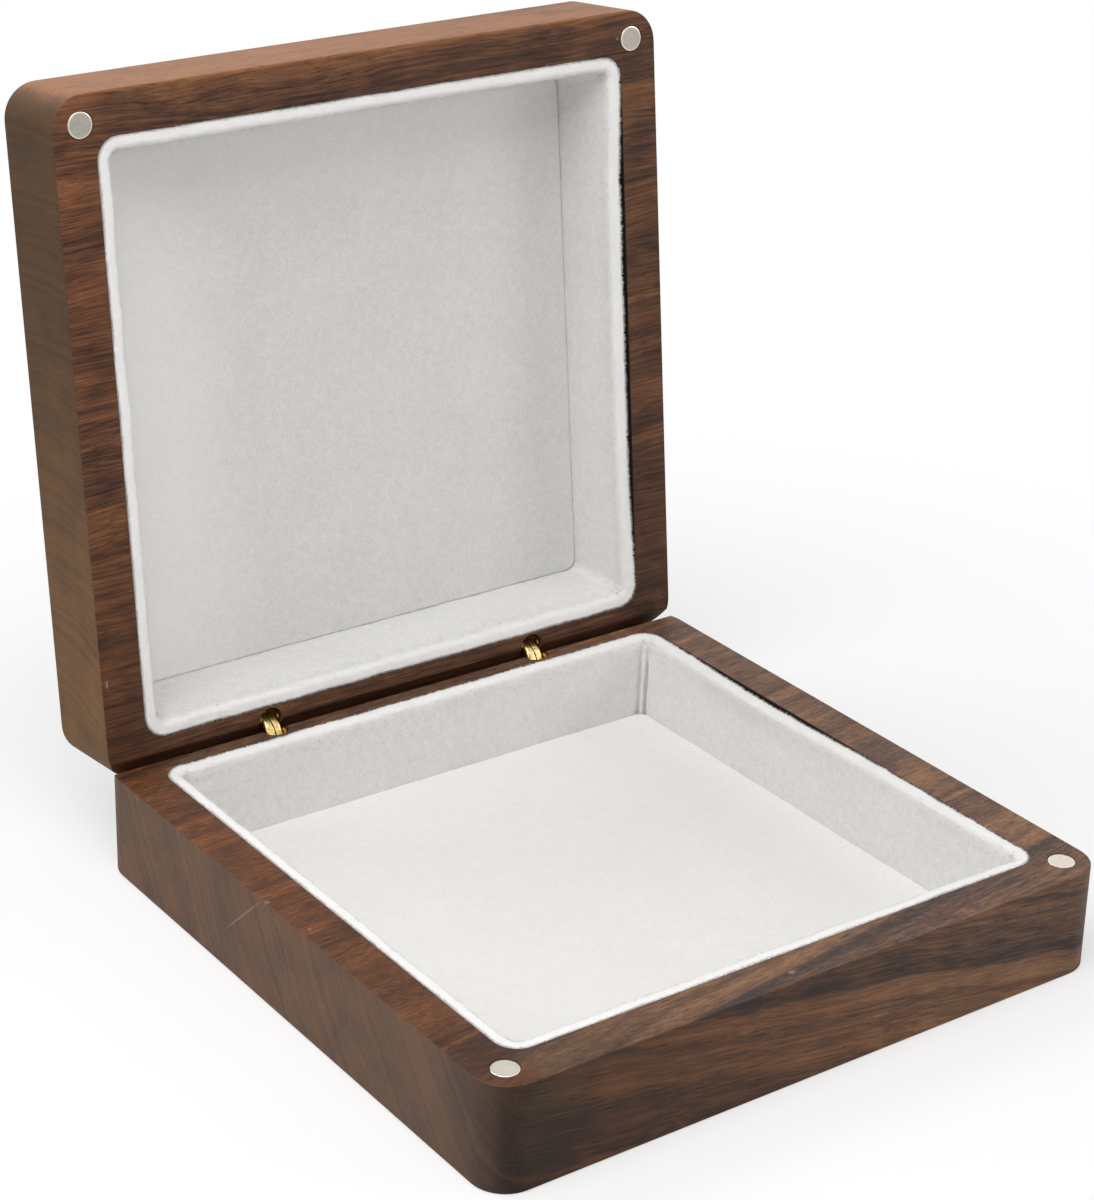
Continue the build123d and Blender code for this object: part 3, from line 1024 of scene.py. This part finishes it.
class BOX_OT_lining(MakeBox, bpy.types.Operator):
    """Line both halves with padded velvet strips and pads"""

    bl_idname = "jewelry_box.lining"
    bl_label = "Line with Velvet"

    def execute(self, context):
        look = context.scene.box_velvet
        cloth = velvet("velvet", look)
        for half, (seed, lean, creased, pad_light) in LININGS.items():
            strip = make_wall_strip(half, look, lean, creased, seed)
            pad = make_pad(half, pad_light, seed)
            for piece, node in ((strip, f"{half}_wall_velvet"), (pad, f"{half}_pad_velvet")):
                turn_outwards(piece)
                piece.data.materials.append(cloth)
                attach(piece, half)
                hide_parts(node)
        return {"FINISHED"}


# The stage, in metres
AIM = Vector((0.0, -1.0, 38.5)) * MM            # what the camera turns round
AIM_OFFSET = (-20.77 * MM, 29.54 * MM)          # from there to the view's middle, right and up
SHIFT = (0.0698, -0.0661)
SENSOR_WIDTH = 36.0
FLOOR_SIZE = 6.0
SHADOW_FADES = (0.10, 0.24)                     # from the middle, where the floor turns white

# Each lamp's place, the point it faces and its size; its power is the setting of the same name
LAMPS = {
    "top_lamp": ((-0.22, -0.16, 0.64), (0.0, 0.0, 0.0), 0.6),
    "side_lamp": ((-0.95, -0.06, 0.55), (0.0, 0.0, 0.04), 0.6),
    "back_lamp": ((-0.35, 0.60, 0.75), (0.0, 0.0, 0.0), 0.5),
    "front_lamp": ((0.80, -0.60, 0.40), (0.0, 0.0, 0.04), 0.5),
}


class BOX_OT_stage(MakeBox, bpy.types.Operator):
    """Set up the floor, the lamps and the camera"""

    bl_idname = "jewelry_box.stage"
    bl_label = "Set the Stage"

    def execute(self, context):
        look = context.scene.box_studio
        self.place_camera(context, look)
        self.place_floor(look)
        self.place_sky(context, look)
        self.place_lamps(look)
        context.scene.view_settings.view_transform = "Standard"
        return {"FINISHED"}

    def place_camera(self, context, look):
        """The camera stands where the photograph was taken."""
        toward = Vector((
            math.sin(look.azimuth) * math.cos(look.elevation),
            -math.cos(look.azimuth) * math.cos(look.elevation),
            math.sin(look.elevation)))
        level = Vector((math.cos(look.azimuth), math.sin(look.azimuth), 0.0))
        upward = toward.cross(level)
        right = level * math.cos(look.roll) + upward * math.sin(look.roll)
        up = upward * math.cos(look.roll) - level * math.sin(look.roll)
        place = AIM + toward * look.distance + right * AIM_OFFSET[0] + up * AIM_OFFSET[1]
        turn = Matrix((right, up, toward)).transposed().to_euler()
        bpy.ops.object.camera_add(location=place, rotation=turn)
        camera = bpy.context.object
        camera.name = "photo_camera"
        camera.data.sensor_fit = "HORIZONTAL"
        camera.data.sensor_width = SENSOR_WIDTH
        camera.data.lens = look.lens
        camera.data.shift_x, camera.data.shift_y = SHIFT
        camera.data.clip_start = 0.01
        context.scene.camera = camera

    def place_floor(self, look):
        """A plain pale floor that looks white away from the box and keeps its soft shadow."""
        bpy.ops.mesh.primitive_plane_add(size=FLOOR_SIZE, location=(0.0, 0.0, 0.0))
        floor = bpy.context.object
        floor.name = "studio_floor"
        graph = new_material("floor")
        place = graph.place()
        tooth = graph.noise(place, scale=30.0, detail=2.0)
        away = graph.step(graph.length(place), *SHADOW_FADES)
        seen = graph.node("ShaderNodeLightPath", output="Is Camera Ray")
        color = graph.blend(seen, graph.tint(look.floor, 0.985 + tooth * 0.03), WHITE)
        values = {"Base Color": color, "Roughness": 0.9, "Specular IOR Level": 0.2}
        paper = graph.node("ShaderNodeBsdfPrincipled", {}, values)
        white = graph.node("ShaderNodeEmission", {}, {"Color": (*WHITE, 1.0), "Strength": 1.0})
        both = graph.node("ShaderNodeMixShader", {}, (seen * (0.5 + away * 0.5), paper, white))
        graph.node("ShaderNodeOutputMaterial", {}, {"Surface": both})
        floor.data.materials.append(graph.owner)

    def place_sky(self, context, look):
        """Soft light all round, and white where the camera, a reflection or glass looks past the box."""
        graph = Graph(bpy.data.worlds.new("studio_sky"))
        context.scene.world = graph.owner
        camera, glossy, through = [
            graph.node("ShaderNodeLightPath", output=f"Is {kind} Ray")
            for kind in ("Camera", "Glossy", "Transmission")]
        seen = camera.at_least(glossy.at_least(through))
        dim, white = [
            graph.node("ShaderNodeBackground", {}, {"Color": (*WHITE, 1.0), "Strength": strength})
            for strength in (look.sky, 1.0)]
        both = graph.node("ShaderNodeMixShader", {}, (seen, dim, white))
        graph.node("ShaderNodeOutputWorld", {}, {"Surface": both})

    def place_lamps(self, look):
        """Four wide lamps: overhead, at the left, behind the lid and low at the right."""
        for name, (place, aim, size) in LAMPS.items():
            turn = (Vector(place) - Vector(aim)).to_track_quat("Z", "Y").to_euler()
            bpy.ops.object.light_add(type="AREA", location=place, rotation=turn)
            lamp = bpy.context.object
            lamp.name = name
            lamp.data.shape = "DISK"
            lamp.data.size = size
            lamp.data.energy = getattr(look, name)


STEPS = ("wood", "metal", "lining", "stage")


class BOX_PT_panel(bpy.types.Panel):
    """Sidebar panel with the steps of the box"""

    bl_idname = "BOX_PT_panel"
    bl_label = "Jewelry Box"
    bl_space_type = "VIEW_3D"
    bl_region_type = "UI"
    bl_category = "Jewelry Box"

    def draw(self, context):
        for step in STEPS:
            self.layout.operator(f"jewelry_box.{step}")


CLASSES = (*SETTINGS.values(), BOX_OT_wood, BOX_OT_metal, BOX_OT_lining, BOX_OT_stage, BOX_PT_panel)


def register():
    """Make the classes and their settings known to Blender."""
    for cls in CLASSES:
        bpy.utils.register_class(cls)
    for name, group in SETTINGS.items():
        setattr(bpy.types.Scene, name, PointerProperty(type=group))


def unregister():
    """Take the classes and their settings away again."""
    for name in SETTINGS:
        delattr(bpy.types.Scene, name)
    for cls in reversed(CLASSES):
        bpy.utils.unregister_class(cls)


def main():
    """Dress the box step by step."""
    register()
    for step in STEPS:
        getattr(bpy.ops.jewelry_box, step)()


if __name__ == "__main__":
    main()
